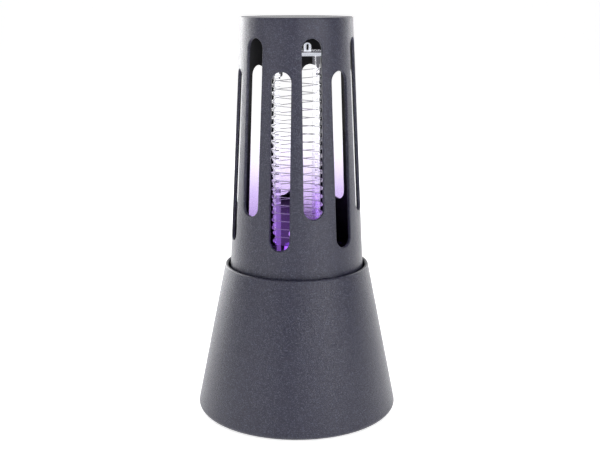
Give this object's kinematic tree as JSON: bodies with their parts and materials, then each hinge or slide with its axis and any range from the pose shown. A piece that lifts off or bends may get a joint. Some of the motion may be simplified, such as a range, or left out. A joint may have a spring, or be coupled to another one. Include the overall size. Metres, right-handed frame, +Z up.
{
  "type": "electric bug zapper",
  "caption": "Cordless table bug zapper: conical base, slotted lift-off guard tube, clear grid wound with steel wires over ultraviolet lamps, insect tray.",
  "frame": {"origin": "centre of the underside, on the surface that the rubber feet stand on", "axes": "+Z up along the axis of the base and the guard; the front looks along -Y and the power button and charging port are at the back, +Y"},
  "size_m": [0.128, 0.128, 0.25],
  "materials": {
    "charcoal_body": "satin, fine moulded texture",
    "black_plastic": "satin",
    "clear_plastic": "clear, polished",
    "lamp_resin": "clear violet, polished",
    "steel": "bright",
    "foot_rubber": "matte",
    "circuit_board": "satin solder mask",
    "ferrite": "matte",
    "capacitor_film": "gloss",
    "battery_wrap": "gloss shrink wrap",
    "red_lead": "satin insulation",
    "black_lead": "satin insulation"
  },
  "bodies": {
    "root": {"base_shell": "charcoal_body", "bottom_cover": "black_plastic", "foot_1": "foot_rubber", "foot_2": "foot_rubber", "foot_3": "foot_rubber", "foot_4": "foot_rubber", "cover_screw_1": "steel", "cover_screw_2": "steel", "cover_screw_3": "steel", "cover_screw_4": "steel", "main_board": "circuit_board", "transformer": "ferrite", "hv_capacitor_1": "capacitor_film", "hv_capacitor_2": "capacitor_film", "battery": "battery_wrap", "battery_holder": "black_plastic", "battery_contact_1": "steel", "battery_contact_2": "steel", "charge_board": "circuit_board", "usb_socket": "steel", "board_screw_1": "steel", "board_screw_2": "steel", "board_screw_3": "steel", "board_screw_4": "steel", "board_screw_5": "steel", "board_screw_6": "steel", "button_switch": "black_plastic", "switch_board": "circuit_board", "grid_foot": "black_plastic", "led_board": "circuit_board", "uv_led_1": "lamp_resin", "uv_led_2": "lamp_resin", "uv_led_3": "lamp_resin", "uv_led_4": "lamp_resin", "uv_led_5": "lamp_resin", "uv_led_6": "lamp_resin", "grid_post_1": "clear_plastic", "grid_post_2": "clear_plastic", "grid_post_3": "clear_plastic", "grid_post_4": "clear_plastic", "grid_top_plate": "clear_plastic", "grid_loop": "clear_plastic", "anchor_peg": "black_plastic", "live_wire": "steel", "neutral_wire": "steel", "grid_screw_1": "steel", "grid_screw_2": "steel", "live_lead": "red_lead", "neutral_lead": "black_lead"},
    "guard": {"guard_tube": "charcoal_body"},
    "tray": {"insect_tray": "black_plastic"},
    "button": {"power_button": "black_plastic"}
  },
  "joints": [
    {"name": "guard_lift", "type": "slide", "parent": "root", "child": "guard", "axis": [0, 0, 1], "range_m": [0, 0.16]},
    {"name": "tray_lift", "type": "slide", "parent": "root", "child": "tray", "axis": [0, 0, 1], "range_m": [0, 0.154]},
    {"name": "power_press", "type": "slide", "parent": "root", "child": "button", "axis": [0, -0.9821, -0.1882], "range_m": [0, 0.0012], "stiffness_N_per_m": 300}
  ],
  "couplings": [
    {"joint": "tray_lift", "follows": "guard_lift", "ratio": 0.96}
  ]
}
